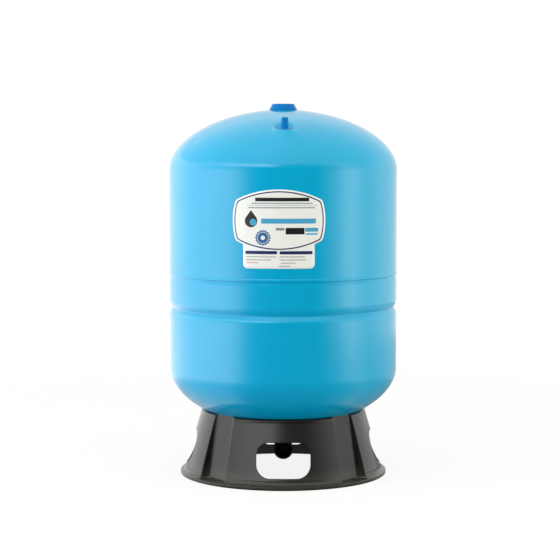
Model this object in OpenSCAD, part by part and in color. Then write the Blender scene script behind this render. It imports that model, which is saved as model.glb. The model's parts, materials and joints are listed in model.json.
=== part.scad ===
// Pre-charged well pressure tank: a steel shell on a moulded stand, with a rubber diaphragm clenched inside.
// Millimetres. The floor is z = 0, the tank's axis is z, and the water connection faces -y.

/* [Tank shell] */
// Outer diameter of the shell
tank_d = 558.8; // [500:1:620]
// Height of the straight wall between the two heads
straight_h = 490; // [420:1:600]
// Depth of each domed head
head_h = 146; // [130:1:170]
// Exponent of the head's curve, where 2 is a plain ellipse
head_fullness = 1.92; // [1.85:0.01:2.1]
// Thickness of the steel sheet
sheet_t = 2; // [1.5:0.1:3]
// Height of the shell's lowest point above the floor
ground_gap = 116; // [112:1:130]

/* [Girth seam] */
// Height of the seam above the foot of the straight wall
seam_up = 236.6; // [200:1:280]
// Length of the tongue that slides into the upper shell
tongue_l = 12; // [8:1:20]
// Height of the weld bead
bead_h = 7; // [5:0.5:10]
// How far the weld bead stands proud
bead_proud = 1; // [0.5:0.1:2]

/* [Rolled groove and clench ring] */
// Distance from the seam down to the middle of the groove
groove_drop = 84.3; // [70:1:110]
// Half the height of the rolled groove
groove_half_h = 20; // [16:1:24]
// Depth of the rolled groove
groove_depth = 6.4; // [4:0.1:7]
// Radius of the two rolled lips
groove_lip_r = 31; // [28:1:40]
// Thickness of the clench ring
clench_t = 2.5; // [2:0.5:4]
// Half the height of the clench ring
clench_half_h = 24; // [22:1:30]

/* [Diaphragm and liner] */
// Thickness of the moulded liner
liner_t = 2; // [1.5:0.1:3]
// Thickness of the rubber diaphragm
rubber_t = 3; // [2:0.1:4]
// Height of the diaphragm's bead above the clench ring
rubber_bead_h = 9; // [6:1:12]
// Gap between pieces that are pressed together
press_gap = 0.2; // [0.1:0.05:0.3]

/* [Water connection] */
// Radius of the threaded socket, inch and a quarter pipe size
socket_r = 19.5; // [18:0.1:21]
// Length of the threaded socket
socket_l = 25; // [20:1:30]
// Inner radius of the elbow
elbow_bore_r = 17.5; // [15:0.5:18]
// Outer radius of the elbow's legs
elbow_leg_r = 22; // [21.5:0.5:24]
// Outer radius of the band around the socket
elbow_band_r = 24; // [23:0.5:27]
// Length of the band around the socket
elbow_band_l = 14; // [8:1:20]
// Distance from the tank's axis to the face of the socket
elbow_reach = 72; // [66:1:90]
// Radius of the elbow's bend, at the middle of the pipe
elbow_bend_r = 30; // [28:1:34]
// Distance from the shell's lowest point down to the socket's axis
elbow_drop = 49; // [44:1:52]
// Radius of the sleeve's flange on the liner
sleeve_flange_r = 36; // [30:1:45]
// Thickness of the sleeve's flange
sleeve_flange_t = 3; // [2:0.5:5]
// Wall of the sleeve inside the elbow
sleeve_wall = 2.2; // [1.5:0.1:3]
// Size of the weld fillets
fillet = 4; // [3:0.5:5]

/* [Stand] */
// Radius of the rim on the floor
stand_rim_r = 255; // [240:1:270]
// Radius at which the dome sits on the stand
stand_seat_r = 197; // [185:1:205]
// Width of the rounded shoulder outside the seat
stand_shoulder = 6; // [4:0.5:8]
// Width of the sloping seat under the dome
stand_seat_w = 12; // [10:1:18]
// Depth of the seat lip
stand_lip_h = 8; // [5:1:12]
// Wall thickness of the stand
stand_wall = 4; // [3:0.5:6]
// Height of the rim strip at the floor
rim_h = 8.6; // [6:0.2:12]
// Width of the flare between a panel's foot and the rim
flare_w = 13; // [9:1:18]
// Height of the flare
flare_h = 12; // [8:1:18]
// Number of panels, windows and flutes
panel_count = 4; // [3:1:5]
// Width of a window
window_w = 128; // [90:1:140]
// Height of a window
window_h = 81.5; // [60:1:84]
// Height of a window's lower edge above the floor
window_sill = 26; // [22:1:32]
// Radius of a window's corners
window_corner_r = 31; // [10:1:38]
// Width of a flute's flat floor
flute_floor_w = 62; // [40:1:70]
// Depth of a flute at the top of the stand
flute_top_depth = 8; // [5:0.5:10]
// Depth of a flute at the foot of the stand
flute_foot_depth = 20; // [14:1:24]
// Draft of a flute's side walls, in degrees
flute_draft = 28; // [15:1:35]
// Radius between a flute's floor and its walls
flute_corner_r = 15; // [6:1:18]

/* [Top port and cover cap] */
// Outer radius of the threaded boss
boss_r = 22; // [18:1:26]
// How far the boss stands above the crown
boss_up = 6; // [5:0.5:8]
// Length of the boss inside the shell
boss_down = 12; // [8:1:20]
// Radius of the plug's thread
plug_r = 13; // [10:0.5:15]
// Width of the square key hole in the plug
plug_key_w = 12.7; // [9:0.1:14]
// Radius of the cover cap at its rim
cap_rim_r = 34.5; // [32:0.5:40]
// Radius of the cover cap at its top
cap_top_r = 26.5; // [26:0.5:32]
// Height of the cover cap above the crown
cap_h = 14; // [13:0.5:20]
// Wall thickness of the cover cap
cap_wall = 2; // [1.5:0.1:3]
// Radius of the cover cap's top edge
cap_edge_r = 3; // [1:0.5:4]
// Gap between the cover cap's sleeve and the boss
cap_gap = 0.15; // [0.1:0.05:0.3]

/* [Air valve] */
// Distance from the shell's wall in to the valve's axis
valve_in = 74.4; // [54:0.4:100]
// Turn of the valve about the tank's axis
valve_turn = 0.9; // [-10:0.1:10]
// Radius of the flat seat pressed into the head
pad_r = 21; // [19:1:24]
// Slope of the pressed seat's sides from the vertical, in degrees
pad_slope = 25; // [15:1:35]
// Height over which the pressed seat's sides meet the head
pad_spread = 30; // [26:1:36]
// Radius of the bung's shank
bung_r = 7.5; // [7:0.1:8.5]
// How far the bung's flange reaches past its shank
bung_lip = 1.3; // [1:0.1:2]
// Thickness of the bung's flange
bung_flange_t = 3; // [2.5:0.1:3.5]
// Length of the bung's shank
bung_l = 11; // [8:1:16]
// Radius of the valve body's lower thread
valve_foot_r = 5; // [4.5:0.1:6]
// Radius of the valve body's collar
valve_collar_r = 7; // [6:0.5:8]
// Height of the valve body's collar
valve_collar_h = 4; // [3:0.5:5]
// Radius of the valve body's stem
stem_r = 3.85; // [3.5:0.05:4.2]
// Length of the valve body's stem
stem_l = 15; // [14:0.5:18]
// Radius of the core's thread in the stem
core_r = 2.6; // [2.4:0.05:2.8]
// Radius of the pin
pin_r = 0.75; // [0.6:0.05:0.9]
// Running gap around the pin
pin_gap = 0.05; // [0.02:0.01:0.08]
// Wire diameter of the pin's spring
wire_d = 0.24; // [0.2:0.02:0.3]
// Turns of the pin's spring
spring_turns = 9; // [6:1:12]
// Height of the valve cap above the bung's flange
valve_cap_h = 26; // [23.5:0.5:30]
// Wall of the valve cap around the valve body's collar
valve_cap_wall = 2.1; // [1.5:0.1:3]
// How much the valve cap narrows from its skirt to its top
valve_cap_taper = 1.6; // [0.6:0.1:2]
// Radius of the valve cap's rounded top edge
valve_cap_edge_r = 3; // [1.5:0.5:4]
// Width of the valve cap's skirt outside the bung's flange
valve_skirt_w = 6.5; // [5:0.1:8]
// Height of the skirt's flare
valve_skirt_h = 5.6; // [5:0.1:7]
// Thickness of the skirt's rim
valve_skirt_t = 0.8; // [0.6:0.1:1.2]
// Thickness of the seal in the valve cap
cap_seal_t = 1.5; // [1:0.1:2]

/* [Label] */
// Thickness of the sticker
label_t = 0.3; // [0.2:0.05:0.5]
// Turn of the sticker's middle about the tank's axis
label_turn = -2.25; // [-10:0.05:10]
// Height of the sticker's barrel-shaped field
label_h = 143; // [120:1:160]
// Width of the sticker's barrel-shaped field
label_w = 220; // [200:1:240]
// Radius of the field's upper and lower edges
label_arch_r = 225; // [190:1:300]
// Radius of the field's sides
label_side_r = 150; // [120:1:200]
// Radius of the field's corners
label_field_r = 12; // [4:1:20]
// Width of the tab under the field
label_tab_w = 168; // [120:1:175]
// Height of the tab below the field
label_tab_h = 40; // [30:1:60]
// Radius of the tab's corners
label_tab_r = 11; // [6:1:20]
// Distance from the seam up to the field's lower edge
label_up = 68; // [60:1:100]

/* [Hidden] */
$fn = 96;
tank_blue = [0.05, 0.60, 0.84];
eps = 0.02;
far = 400;
head_steps = 28;
arc_steps = 8;
shell_r = tank_d / 2;
foot_z = ground_gap + head_h;
shoulder_z = foot_z + straight_h;
crown_z = shoulder_z + head_h;
seam_z = foot_z + seam_up;
groove_z = seam_z - groove_drop;
socket_z = ground_gap - elbow_drop;

// Height of a head of radius r and depth h above its rim, at distance d from the axis
function dome(r, h, d) = h * pow(1 - pow(d / r, head_fullness), 1 / head_fullness);
// Height of the upper head's outer face at distance d from the axis
function crown_at(d) = shoulder_z + dome(shell_r, head_h, d);
// A head's curve, t inside the sheet's outer face, from distance d0 out to the straight wall
function head_curve(t, d0) = let (r = shell_r - t, h = head_h - t, a0 = acos(pow(d0 / r, head_fullness / 2)))
    [for (i = [0 : head_steps]) let (a = a0 * (1 - i / head_steps))
        [r * pow(cos(a), 2 / head_fullness), h * pow(sin(a), 2 / head_fullness)]];
function flipped(points) = [for (p = points) [p[0], -p[1]]];
function lifted(points, z) = [for (p = points) [p[0], p[1] + z]];
function reversed(points) = [for (i = [len(points) - 1 : -1 : 0]) points[i]];
// Depth of the rolled groove at height dz from its middle
function groove_in(dz) = let (s = max(0, groove_half_h - abs(dz)))
    min(groove_depth, groove_lip_r - sqrt(pow(groove_lip_r, 2) - pow(s, 2)));
// The rolled groove's curve, t inside the sheet's outer face, between two heights from its middle
function groove_curve(t, low, high) = [for (i = [0 : 4 * arc_steps])
    let (dz = low + (high - low) * i / (4 * arc_steps)) [shell_r - t - groove_in(dz), groove_z + dz]];
// Height of the lower head's face that lies t inside the sheet's outer face, at distance d from the axis
function bottom_face(t, d) = foot_z - dome(shell_r - t, head_h - t, d);
// An arc's points about a centre, from angle a0 to a1
function arc(centre, r, a0, a1) = [for (i = [0 : arc_steps]) let (a = a0 + (a1 - a0) * i / arc_steps)
    centre + r * [cos(a), sin(a)]];

module revolve(points) {
    rotate_extrude() polygon(points);
}

module ring(r_in, r_out, z0, z1) {
    revolve([[r_in, z0], [r_out, z0], [r_out, z1], [r_in, z1]]);
}

module rounded_square(w, h, r) {
    square([w - 2 * r, h], center = true);
    square([w, h - 2 * r], center = true);
    for (x = [-1, 1], y = [-1, 1]) translate([x * (w / 2 - r), y * (h / 2 - r)]) circle(r);
}

// Shells

tongue_r = shell_r - sheet_t - press_gap;
joggle_h = 3;
joggle_z = seam_z - joggle_h / 2;
joggle_in = sheet_t / 3;
inlet_r = elbow_leg_r + press_gap;
port_r = boss_r + press_gap;

module lower_shell() {
    color(tank_blue) revolve(concat(
        lifted(flipped(head_curve(0, inlet_r)), foot_z),
        groove_curve(0, -groove_half_h, groove_half_h),
        [[shell_r, joggle_z], [tongue_r, joggle_z + joggle_h], [tongue_r, seam_z + tongue_l],
            [tongue_r - sheet_t, seam_z + tongue_l], [tongue_r - sheet_t, joggle_z + joggle_h - joggle_in],
            [shell_r - sheet_t, joggle_z - joggle_in]],
        reversed(groove_curve(sheet_t, -groove_half_h, groove_half_h)),
        reversed(lifted(flipped(head_curve(sheet_t, inlet_r)), foot_z))));
}

valve_reach = shell_r - valve_in;
pad_top = crown_at(valve_reach);
pad_flare = pad_spread * tan(pad_slope);
pad_side_t = sheet_t / cos(pad_slope);

// Places its children at the middle of the seat pressed into the upper head
module at_valve() {
    rotate([0, 0, valve_turn]) translate([0, -valve_reach, pad_top]) children();
}

// The space inside the upper half, t inside the sheet's outer face
module upper_space(t) {
    revolve(concat([[0, seam_z], [shell_r - t, seam_z]], reversed(lifted(head_curve(t, 0), shoulder_z))));
}

// A cone under the valve's seat, and its mirror image above
module under_seat(r) {
    translate([0, 0, -pad_spread]) cylinder(h = pad_spread, r1 = r + pad_flare, r2 = r);
}

module over_seat(r) {
    cylinder(h = pad_spread, r1 = r, r2 = r + pad_flare);
}

module seat_blank() {
    difference() {
        union() {
            at_valve() under_seat(pad_r + pad_side_t);
            intersection() {
                at_valve() over_seat(pad_r + pad_side_t);
                upper_space(0);
            }
        }
        intersection() {
            upper_space(sheet_t);
            translate([0, 0, pad_top - sheet_t - far]) cylinder(h = far, r = far);
        }
    }
}

module upper_shell() {
    color(tank_blue) difference() {
        union() {
            revolve(concat(
                [[shell_r - sheet_t, joggle_z + joggle_h], [shell_r, joggle_z + joggle_h]],
                reversed(lifted(head_curve(0, port_r), shoulder_z)),
                lifted(head_curve(sheet_t, port_r), shoulder_z)));
            seat_blank();
        }
        at_valve() over_seat(pad_r);
        at_valve() translate([0, 0, -sheet_t]) under_seat(pad_r);
        at_valve() cylinder(h = 4 * sheet_t, r = bung_r + press_gap, center = true);
    }
}

// The bead's section is the part of a circle that stands out of the wall
bead_r = (pow(bead_h / 2, 2) + pow(bead_proud, 2)) / (2 * bead_proud);

module girth_weld() {
    color(tank_blue) rotate_extrude() intersection() {
        translate([shell_r + bead_proud - bead_r, seam_z]) circle(bead_r);
        translate([shell_r, seam_z - bead_h]) square([bead_h, 2 * bead_h]);
    }
}

// Diaphragm, liner and clench ring

liner_in = sheet_t + press_gap;
rubber_in = liner_in + liner_t + press_gap;
clench_in = rubber_in + rubber_t + press_gap;
rubber_top = groove_z + clench_half_h + rubber_bead_h;

module clench_ring() {
    color([0.72, 0.73, 0.74]) revolve(concat(
        groove_curve(clench_in, -clench_half_h, clench_half_h),
        reversed(groove_curve(clench_in + clench_t, -clench_half_h, clench_half_h))));
}

module liner() {
    color([0.90, 0.90, 0.87]) revolve(concat(
        lifted(flipped(head_curve(liner_in, elbow_bore_r)), foot_z),
        groove_curve(liner_in, -groove_half_h, clench_half_h),
        reversed(groove_curve(liner_in + liner_t, -groove_half_h, clench_half_h)),
        reversed(lifted(flipped(head_curve(liner_in + liner_t, elbow_bore_r)), foot_z))));
}

sleeve_top = bottom_face(liner_in + liner_t, sleeve_flange_r) + sleeve_flange_t;
sleeve_r = elbow_bore_r - press_gap;
sleeve_foot = socket_z + elbow_bend_r + press_gap;

// The rubber's middle is raised over the sleeve's flange
module diaphragm() {
    cover_r = sleeve_flange_r + rubber_t;
    color([0.09, 0.09, 0.09]) difference() {
        union() {
            revolve(concat(
                lifted(flipped(head_curve(rubber_in, 0)), foot_z),
                groove_curve(rubber_in, -groove_half_h, clench_half_h),
                [[shell_r - rubber_in, rubber_top], [shell_r - clench_in - clench_t, rubber_top],
                    [shell_r - clench_in - clench_t, groove_z + clench_half_h + press_gap],
                    [shell_r - rubber_in - rubber_t, groove_z + clench_half_h + press_gap]],
                reversed(groove_curve(rubber_in + rubber_t, -groove_half_h, groove_half_h)),
                reversed(lifted(flipped(head_curve(rubber_in + rubber_t, 0)), foot_z))));
            ring(0, cover_r + press_gap, bottom_face(rubber_in, cover_r + press_gap),
                sleeve_top + press_gap + rubber_t);
        }
        translate([0, 0, ground_gap])
            cylinder(h = sleeve_top + press_gap - ground_gap, r = sleeve_flange_r + press_gap);
    }
}

module inlet_sleeve() {
    color([0.90, 0.90, 0.87]) revolve([
        [sleeve_r - sleeve_wall, sleeve_foot], [sleeve_r, sleeve_foot],
        [sleeve_r, bottom_face(liner_in + liner_t, sleeve_r)],
        [sleeve_flange_r, bottom_face(liner_in + liner_t, sleeve_flange_r)],
        [sleeve_flange_r, sleeve_top], [sleeve_r - sleeve_wall, sleeve_top]]);
}

// Water connection

leg_top = bottom_face(sheet_t, 0);

// A pipe of radius r that comes down from the shell, bends and leaves towards -y
module bent_pipe(r, top, reach) {
    translate([0, 0, socket_z + elbow_bend_r]) cylinder(h = top - socket_z - elbow_bend_r, r = r);
    translate([0, -elbow_bend_r, socket_z + elbow_bend_r]) rotate([-90, 0, 90])
        rotate_extrude(angle = 90) translate([elbow_bend_r, 0]) circle(r);
    translate([0, -elbow_bend_r, socket_z]) rotate([90, 0, 0]) cylinder(h = reach - elbow_bend_r, r = r);
}

module water_elbow() {
    color([0.30, 0.31, 0.32]) difference() {
        union() {
            bent_pipe(elbow_leg_r, leg_top, elbow_reach);
            translate([0, -elbow_reach + elbow_band_l, socket_z]) rotate([90, 0, 0])
                cylinder(h = elbow_band_l, r = elbow_band_r);
        }
        bent_pipe(elbow_bore_r, leg_top + far, elbow_reach + far);
        translate([0, -elbow_reach + socket_l, socket_z]) rotate([90, 0, 0])
            cylinder(h = far, r = socket_r);
    }
}

module elbow_weld() {
    color(tank_blue) revolve([
        [elbow_leg_r, bottom_face(0, elbow_leg_r) - fillet],
        [elbow_leg_r + fillet, bottom_face(0, elbow_leg_r + fillet)],
        [elbow_leg_r, bottom_face(0, elbow_leg_r)]]);
}

// Stand

stand_foot_r = stand_rim_r - flare_w;
stand_foot_z = rim_h + flare_h;
stand_top_r = stand_seat_r + stand_shoulder;
seat_z = bottom_face(0, stand_seat_r) - press_gap;
seat_in_r = stand_seat_r - stand_seat_w;
stand_slope = atan((stand_foot_r - stand_top_r) / (seat_z - stand_shoulder - stand_foot_z));
wall_across = stand_wall / cos(stand_slope);
lip_z = bottom_face(0, seat_in_r) - stand_lip_h;
flute_foot_r = stand_foot_r - flute_foot_depth;
flute_tilt = atan((flute_foot_r - stand_top_r + flute_top_depth) / (seat_z - rim_h));

// Radius of the panels' outer face at height z
function panel_r(z) = stand_foot_r - (z - stand_foot_z) * tan(stand_slope);
// The seat's curve, pressed under the dome, from radius r0 in to r1
function seat_curve(r0, r1) = [for (i = [0 : arc_steps]) let (r = r0 + (r1 - r0) * i / arc_steps)
    [r, bottom_face(0, r) - press_gap]];
// The stand's outer face, from the floor up to the seat
stand_face = concat(
    [[stand_rim_r, 0]],
    [for (i = [arc_steps : -1 : 0]) let (a = 90 * i / arc_steps)
        [stand_rim_r - flare_w * cos(a), stand_foot_z - flare_h * sin(a)]],
    arc([stand_seat_r, seat_z - stand_shoulder], stand_shoulder, 0, 90));

// The outline of a flute, with x out from its floor: a flat floor, round corners and drafted walls
function flute_side(floor_x, half_w, r) = let (t = r * tan((90 - flute_draft) / 2), reach = stand_rim_r / 2)
    concat(arc([floor_x + r, half_w - t], r, 180, 90 + flute_draft),
        [[floor_x + reach, half_w + reach * tan(flute_draft)]]);
function flute_outline(floor_x, half_w, r) = let (side = flute_side(floor_x, half_w, r))
    concat([for (p = reversed(side)) [p[0], -p[1]]], side);

// The space of every flute above height z, grown all round by t
module flutes(z, t) {
    half_w = flute_floor_w / 2 + t / cos(flute_draft) - t * tan(flute_draft);
    intersection() {
        for (i = [0 : panel_count - 1]) rotate([0, 0, (i + 0.5) * 360 / panel_count - 90])
            translate([flute_foot_r, 0, rim_h]) rotate([0, -flute_tilt, 0])
            translate([0, 0, -stand_rim_r / 2]) linear_extrude(height = 2 * stand_rim_r)
            polygon(flute_outline(-t, half_w, flute_corner_r + t));
        translate([0, 0, z]) cylinder(h = far, r = far);
    }
}

module windows() {
    for (i = [0 : panel_count - 1]) rotate([90, 0, i * 360 / panel_count])
        translate([0, window_sill + window_h / 2, stand_rim_r / 2]) linear_extrude(height = stand_rim_r)
        rounded_square(window_w, window_h, window_corner_r);
}

module stand() {
    color([0.16, 0.16, 0.15]) difference() {
        union() {
            revolve(concat(stand_face, seat_curve(stand_seat_r, seat_in_r),
                [[seat_in_r, lip_z], [panel_r(lip_z) - wall_across, lip_z], [panel_r(0) - wall_across, 0]]));
            intersection() {
                revolve(concat(stand_face, seat_curve(stand_seat_r, seat_in_r), [[seat_in_r, 0]]));
                flutes(rim_h - stand_wall, stand_wall);
            }
        }
        flutes(rim_h, 0);
        windows();
    }
}

// Top port and cover cap

boss_top = crown_z + boss_up;
weld_top = crown_z + fillet * 0.6;
sleeve_w = cap_wall * 0.8;
cap_top = crown_z + cap_h;

module top_boss() {
    color(tank_blue) ring(plug_r, boss_r, crown_z - boss_down, boss_top);
}

module boss_weld() {
    color(tank_blue) revolve([
        [boss_r, crown_at(boss_r)], [boss_r + fillet, crown_at(boss_r + fillet)], [boss_r, weld_top]]);
}

module port_plug() {
    color([0.55, 0.56, 0.57]) difference() {
        ring(0, plug_r - press_gap / 2, crown_z - boss_down, boss_top);
        translate([0, 0, boss_top]) cube([plug_key_w, plug_key_w, boss_down], center = true);
    }
}

module top_cap() {
    rim_z = crown_at(cap_rim_r - cap_wall) + press_gap / 2;
    grip_r = boss_r + cap_gap;
    color([0.02, 0.44, 0.79]) revolve(concat(
        [[cap_rim_r - cap_wall, rim_z], [cap_rim_r, rim_z]],
        arc([cap_top_r - cap_edge_r, cap_top - cap_edge_r], cap_edge_r, 0, 90),
        [[0, cap_top], [0, cap_top - cap_wall], [grip_r, cap_top - cap_wall],
            [grip_r, weld_top + press_gap], [grip_r + sleeve_w, weld_top + press_gap],
            [grip_r + sleeve_w, cap_top - cap_wall], [cap_top_r - cap_wall + eps, cap_top - cap_wall]]));
}

// Air valve, with heights measured from the top of the bung's flange

bung_flange_r = bung_r + bung_lip;
bung_hole_r = valve_foot_r + press_gap / 2;
bung_foot = -bung_flange_t - bung_l;
stem_top = valve_collar_h + stem_l;
core_step = stem_top - 10;
core_head = core_step + 2;
core_top = stem_top - 0.8;
core_foot = 2;
core_web = 1;
core_barrel_r = core_r - 0.9;
chamber_r = core_barrel_r - 0.4;
chamber_top = core_top - 2.2;
air_way_r = core_barrel_r + 0.3;
cup_t = 0.9;
washer_t = 0.75;
washer_top = core_foot - pin_gap;
collar_z = chamber_top - 1;
collar_t = 0.5;
spring_foot = core_foot + core_web;

module on_bung() {
    at_valve() translate([0, 0, bung_flange_t]) children();
}

module valve_bung() {
    color(tank_blue) on_bung() difference() {
        union() {
            ring(0, bung_flange_r, -bung_flange_t, 0);
            ring(0, bung_r, bung_foot, -bung_flange_t);
        }
        translate([0, 0, bung_foot - eps]) cylinder(h = bung_l + bung_flange_t + 2 * eps, r = bung_hole_r);
    }
}

module valve_body() {
    color([0.80, 0.66, 0.36]) on_bung() revolve([
        [air_way_r, bung_foot], [valve_foot_r, bung_foot], [valve_foot_r, 0], [valve_collar_r, 0],
        [valve_collar_r, valve_collar_h], [stem_r, valve_collar_h], [stem_r, stem_top],
        [core_r, stem_top], [core_r, core_step], [air_way_r, core_step]]);
}

module valve_core() {
    color([0.84, 0.72, 0.42]) on_bung() revolve([
        [pin_r + pin_gap, core_foot], [core_barrel_r, core_foot], [core_barrel_r, core_head],
        [core_r - pin_gap, core_head], [core_r - pin_gap, core_top], [pin_r + pin_gap, core_top],
        [pin_r + pin_gap, chamber_top], [chamber_r, chamber_top], [chamber_r, spring_foot],
        [pin_r + pin_gap, spring_foot]]);
}

module core_gasket() {
    color([0.12, 0.12, 0.12]) on_bung()
        ring(core_barrel_r + pin_gap, core_r - pin_gap, core_step, core_head - pin_gap);
}

module valve_pin() {
    cup_z = washer_top - washer_t - cup_t;
    color([0.84, 0.72, 0.42]) on_bung() revolve([
        [0, cup_z], [core_barrel_r - 0.1, cup_z], [core_barrel_r - 0.1, cup_z + cup_t],
        [pin_r, cup_z + cup_t], [pin_r, collar_z], [chamber_r - 0.1, collar_z],
        [chamber_r - 0.1, collar_z + collar_t], [pin_r, collar_z + collar_t],
        [pin_r, stem_top - 0.1], [0, stem_top - 0.1]]);
}

module seat_washer() {
    color([0.12, 0.12, 0.12]) on_bung()
        ring(pin_r + eps, core_barrel_r - 0.2, washer_top - washer_t, washer_top);
}

// A tube of a few sides swept along a helix, with closed ends
module pin_spring() {
    sides = 6;
    steps = spring_turns * 10;
    mean_r = (pin_r + chamber_r) / 2;
    rise = collar_z - spring_foot - wire_d;
    ring_at = function (i) let (a = 360 * spring_turns * i / steps,
            z = spring_foot + wire_d / 2 + rise * i / steps)
        [for (k = [0 : sides - 1]) let (b = 360 * k / sides, r = mean_r + wire_d / 2 * cos(b))
            [r * cos(a), r * sin(a), z + wire_d / 2 * sin(b)]];
    points = [for (i = [0 : steps]) each ring_at(i)];
    walls = [for (i = [0 : steps - 1], k = [0 : sides - 1]) let (n = (k + 1) % sides)
        each [[i * sides + k, i * sides + n, (i + 1) * sides + n],
            [i * sides + k, (i + 1) * sides + n, (i + 1) * sides + k]]];
    ends = [[for (k = [sides - 1 : -1 : 0]) k], [for (k = [0 : sides - 1]) steps * sides + k]];
    color([0.75, 0.76, 0.78]) on_bung() polyhedron(points, concat(walls, ends));
}

cap_seal_z = stem_top + cap_gap;
cap_bore_top = cap_seal_z + cap_seal_t;

// The cap rests on the pressed seat by its skirt, whose flare is a quarter of an ellipse
module valve_cap() {
    foot = press_gap - bung_flange_t;
    skirt_in = bung_flange_r + cap_gap;
    rim_r = skirt_in + valve_skirt_w;
    collar_in = valve_collar_r + 2 * cap_gap;
    stem_in = stem_r + cap_gap / 2;
    barrel_r = collar_in + valve_cap_wall;
    top_r = barrel_r - valve_cap_taper;
    color([0.02, 0.44, 0.79]) on_bung() revolve(concat(
        [[skirt_in, foot], [rim_r, foot]],
        [for (i = [0 : arc_steps]) let (a = 90 * i / arc_steps)
            [rim_r - (rim_r - barrel_r) * sin(a),
                foot + valve_skirt_h - (valve_skirt_h - valve_skirt_t) * cos(a)]],
        arc([top_r - valve_cap_edge_r, valve_cap_h - valve_cap_edge_r], valve_cap_edge_r, 0, 90),
        [[0, valve_cap_h], [0, cap_bore_top], [stem_in, cap_bore_top],
            [stem_in, valve_collar_h + press_gap], [collar_in, valve_collar_h + press_gap],
            [collar_in, press_gap], [skirt_in, press_gap]]));
}

module cap_seal() {
    color([0.12, 0.12, 0.12]) on_bung() ring(0, stem_r, cap_seal_z, cap_bore_top);
}

// Label

field_z = seam_z + label_up + label_h / 2;

// A length along the wall, as it shows from straight in front
function facing(s) = shell_r * sin(s / shell_r * 180 / PI);
function direction(v) = atan2(v[1], v[0]);
// The field's right half: the middles of its upper edge, of its side and of the corner that touches both
arch_middle = [0, label_h / 2 - label_arch_r];
side_middle = [label_w / 2 - label_side_r, 0];
corner_middle = let (a = label_arch_r - label_field_r, b = label_side_r - label_field_r,
        d = norm(side_middle - arch_middle), u = (side_middle - arch_middle) / d,
        along = (a * a - b * b + d * d) / (2 * d))
    arch_middle + along * u + sqrt(a * a - along * along) * [u[1], -u[0]];
corner_start = direction(corner_middle - side_middle);
corner_end = direction(corner_middle - arch_middle);
tab_angle = acos(label_tab_w / 2 / label_arch_r);
tab_corner = [label_tab_w / 2 - label_tab_r, label_tab_r - label_h / 2 - label_tab_h];
// The sticker's right edge along the wall, from the tab's foot up to the middle of the upper edge
label_half = concat(
    arc(tab_corner, label_tab_r, -90, 0),
    arc(-arch_middle, label_arch_r, -tab_angle, -corner_end),
    arc([corner_middle[0], -corner_middle[1]], label_field_r, -corner_end, -corner_start),
    arc(side_middle, label_side_r, -corner_start, corner_start),
    arc(corner_middle, label_field_r, corner_start, corner_end),
    arc(arch_middle, label_arch_r, corner_end, 90));
label_outline = concat(label_half, [for (p = reversed(label_half)) [-p[0], p[1]]]);

module label() {
    color([0.93, 0.93, 0.92]) rotate([0, 0, label_turn]) intersection() {
        ring(shell_r, shell_r + label_t, seam_z, shoulder_z);
        translate([0, 0, field_z]) rotate([90, 0, 0]) linear_extrude(height = far)
            polygon([for (p = label_outline) [facing(p[0]), p[1]]]);
    }
}

lower_shell();
upper_shell();
girth_weld();
clench_ring();
diaphragm();
liner();
inlet_sleeve();
water_elbow();
elbow_weld();
stand();
top_boss();
boss_weld();
port_plug();
top_cap();
valve_bung();
valve_body();
valve_core();
core_gasket();
valve_pin();
seat_washer();
pin_spring();
valve_cap();
cap_seal();
label();
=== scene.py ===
"""A blue well pressure tank on its black moulded stand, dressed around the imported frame.

Every new piece is a surface worked out with numpy, on a grid of two parameters, in metres.
"""
import json
import math

import bmesh
import bpy
import numpy as np
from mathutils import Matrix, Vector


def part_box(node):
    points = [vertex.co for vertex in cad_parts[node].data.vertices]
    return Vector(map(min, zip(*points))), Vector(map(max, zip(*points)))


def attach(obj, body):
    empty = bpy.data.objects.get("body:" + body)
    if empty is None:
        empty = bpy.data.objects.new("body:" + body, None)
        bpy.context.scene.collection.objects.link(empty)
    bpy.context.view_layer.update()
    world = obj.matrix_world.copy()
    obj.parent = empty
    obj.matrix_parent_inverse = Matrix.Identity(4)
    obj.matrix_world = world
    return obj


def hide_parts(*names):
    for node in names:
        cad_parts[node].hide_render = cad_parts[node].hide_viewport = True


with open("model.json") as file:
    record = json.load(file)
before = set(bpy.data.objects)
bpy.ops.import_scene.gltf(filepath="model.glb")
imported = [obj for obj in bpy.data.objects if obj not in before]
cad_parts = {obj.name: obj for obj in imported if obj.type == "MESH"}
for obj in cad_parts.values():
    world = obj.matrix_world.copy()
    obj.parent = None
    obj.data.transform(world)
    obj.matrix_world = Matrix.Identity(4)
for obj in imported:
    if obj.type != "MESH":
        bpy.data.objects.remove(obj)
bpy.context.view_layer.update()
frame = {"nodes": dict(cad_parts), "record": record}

# Sizes of the shells, in metres. The heads are superellipses of HEAD_FULLNESS, and heights named _Z go up
# from the floor: the lowest point, the lower head's rim, the upper head's rim, the top, seam and groove.

MM = 0.001
TANK_R = float(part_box("upper_shell")[1][0])
HEAD_H = 146 * MM
HEAD_FULLNESS = 1.92
SHEET = 2 * MM
BOTTOM_Z = 116 * MM
FOOT_Z = BOTTOM_Z + HEAD_H
SHOULDER_Z = FOOT_Z + 490 * MM
CROWN_Z = SHOULDER_Z + HEAD_H
SEAM_Z = FOOT_Z + 236.6 * MM
GROOVE_Z = SEAM_Z - 84.3 * MM
GROOVE_HALF_H = 20 * MM
GROOVE_DEPTH = 6.4 * MM
GROOVE_LIP_R = 31 * MM
GROOVE_ZONE = 24 * MM
PORT_R = 22.2 * MM
TONGUE_H = 12 * MM
SEAM_ROOT = 1.5 * MM
BEAD_HALF_H, BEAD_RISE, BEAD_SINK = 3.6 * MM, 1.35 * MM, 0.4 * MM
GAP = 0.2 * MM

# Small helpers on arrays


def smooth_max(a, b, k):
    """The larger of two arrays, with the corner between them rounded over a height of about k."""
    return (a + b + np.sqrt((a - b) ** 2 + k * k)) / 2


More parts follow.
